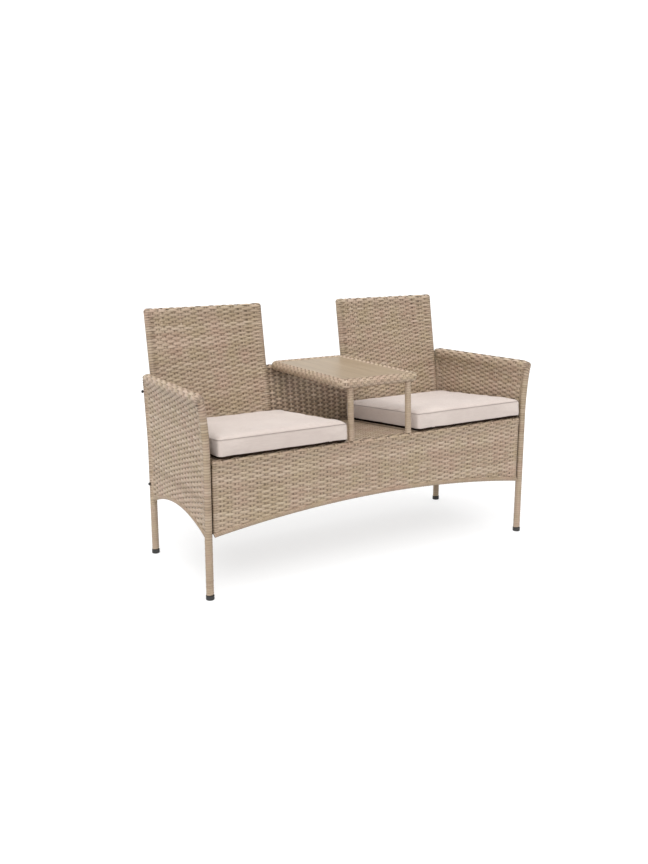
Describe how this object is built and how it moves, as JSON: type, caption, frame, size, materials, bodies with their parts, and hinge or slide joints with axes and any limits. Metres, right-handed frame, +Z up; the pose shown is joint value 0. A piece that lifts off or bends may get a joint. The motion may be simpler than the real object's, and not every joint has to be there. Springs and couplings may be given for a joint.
{
  "type": "double garden bench",
  "caption": "Two-seat woven garden bench with arms, a board-topped table and shelf built in between the seats, and loose seat cushions.",
  "frame": {"origin": "on the floor, under the middle of the whole bench in width and depth", "axes": "+Z up, -Y towards the front where people sit down, +X to the right of someone who faces the bench from the front"},
  "size_m": [1.302, 0.5588, 0.8383],
  "materials": {
    "wicker": "extruded flat strand in mixed sandy browns, satin, wound on the tubes and woven as skins",
    "foot_rubber": "matt moulded",
    "table_wood": "fine straight grain under a satin lacquer",
    "frame_steel": "brown powder coat",
    "bolt_black": "black coating, satin",
    "zinc": "bright zinc plate",
    "cushion_fabric": "plain woven polyester, pale warm beige, soft"
  },
  "bodies": {
    "bench": {"apron_arch_rail": "wicker", "apron_end_bar_left": "wicker", "apron_end_bar_right": "wicker", "apron_panel": "wicker", "arm_arch_rail_left": "wicker", "arm_arch_rail_right": "wicker", "arm_bolt_low_left": "bolt_black", "arm_bolt_low_right": "bolt_black", "arm_bolt_top_left": "bolt_black", "arm_bolt_top_right": "bolt_black", "arm_lower_panel_left": "wicker", "arm_lower_panel_right": "wicker", "arm_mid_bar_left": "wicker", "arm_mid_bar_right": "wicker", "arm_rail_left": "wicker", "arm_rail_right": "wicker", "arm_upper_panel_left": "wicker", "arm_upper_panel_right": "wicker", "back_inner_stile_left": "wicker", "back_inner_stile_right": "wicker", "back_lower_rail": "wicker", "back_middle_panel": "wicker", "back_middle_rail": "wicker", "back_outer_stile_left": "wicker", "back_outer_stile_right": "wicker", "back_panel_left": "wicker", "back_panel_right": "wicker", "back_top_rail_left": "wicker", "back_top_rail_right": "wicker", "board_screw_front": "zinc", "board_screw_rear": "zinc", "front_foot_left": "foot_rubber", "front_foot_right": "foot_rubber", "front_leg_left": "wicker", "front_leg_right": "wicker", "rear_foot_left": "foot_rubber", "rear_foot_right": "foot_rubber", "rear_leg_left": "wicker", "rear_leg_right": "wicker", "seat_bolt_front_left": "bolt_black", "seat_bolt_front_right": "bolt_black", "seat_bolt_rear_left": "bolt_black", "seat_bolt_rear_right": "bolt_black", "seat_deck_left": "wicker", "seat_deck_right": "wicker", "seat_front_rail": "wicker", "seat_inner_bar_left": "wicker", "seat_inner_bar_right": "wicker", "seat_outer_bar_left": "wicker", "seat_outer_bar_right": "wicker", "seat_rear_rail": "wicker", "shelf_deck": "wicker", "table_bearer_front": "frame_steel", "table_bearer_rear": "frame_steel", "table_board": "table_wood", "table_post_left": "wicker", "table_post_right": "wicker", "table_rim": "wicker"},
    "cushion_left": {"seat_cushion_left": "cushion_fabric"},
    "cushion_right": {"seat_cushion_right": "cushion_fabric"}
  },
  "joints": [
    {"name": "cushion_left_lift", "type": "slide", "parent": "bench", "child": "cushion_left", "axis": [0, 0, 1], "range_m": [0, 0.09]},
    {"name": "cushion_right_lift", "type": "slide", "parent": "bench", "child": "cushion_right", "axis": [0, 0, 1], "range_m": [0, 0.09]}
  ]
}
